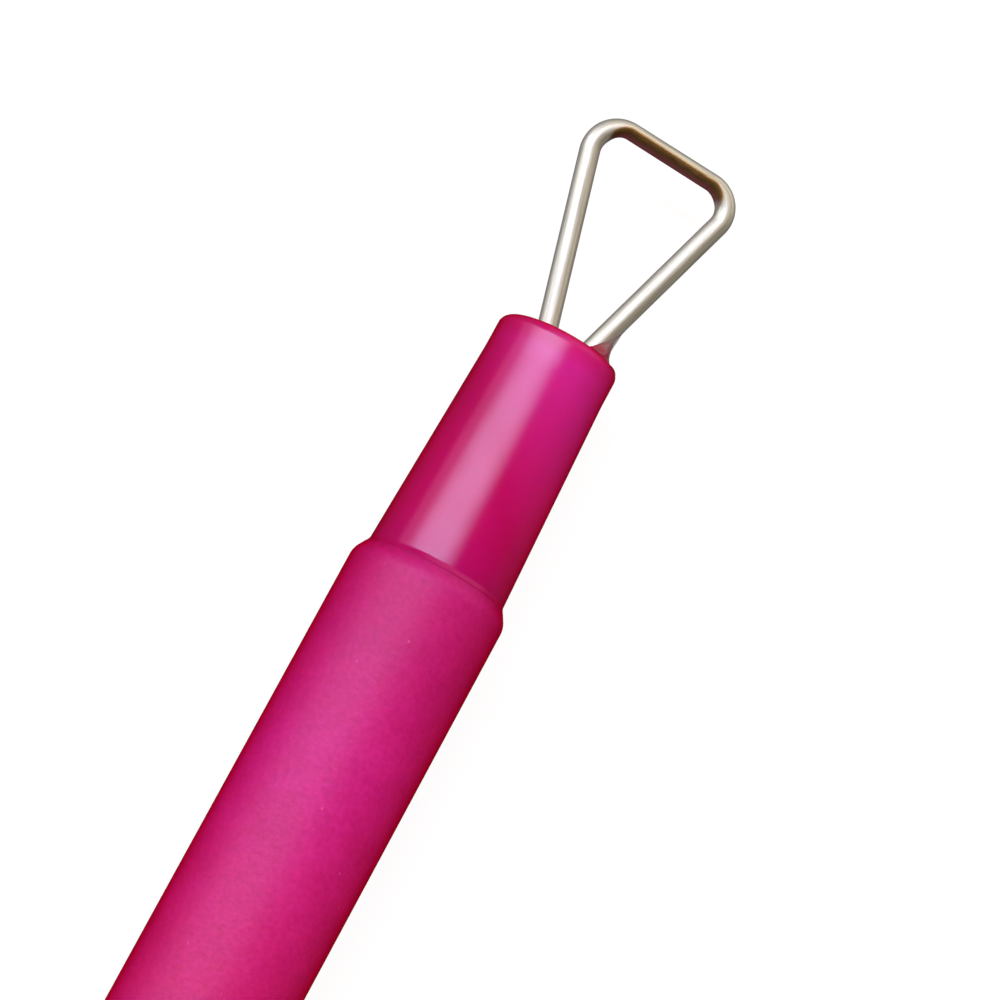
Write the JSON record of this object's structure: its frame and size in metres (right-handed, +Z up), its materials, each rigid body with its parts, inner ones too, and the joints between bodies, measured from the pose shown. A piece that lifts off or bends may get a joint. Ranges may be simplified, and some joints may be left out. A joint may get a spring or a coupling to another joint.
{
  "type": "cuticle remover tool",
  "caption": "Slim cuticle remover: a frosted round barrel and a glossy tapered nose hold a triangular wire loop whose bar is ground to a scraping edge.",
  "frame": {"origin": "middle of the bounding box, on the surface that the barrel lies on", "axes": "+X along the tool towards the loop, +Y to the left seen from the tail, +Z up and square to the loop's plane"},
  "size_m": [0.125, 0.0106, 0.01],
  "materials": {
    "frosted_barrel": "frosted magenta",
    "glossy_nose": "glossy tinted magenta",
    "stainless_wire": "satin drawn wire",
    "clear_glue": "clear set adhesive"
  },
  "bodies": {
    "root": {"barrel": "frosted_barrel", "nose": "glossy_nose", "tail_plug": "glossy_nose", "wire_loop": "stainless_wire", "left_leg_glue": "clear_glue", "right_leg_glue": "clear_glue"}
  },
  "joints": []
}
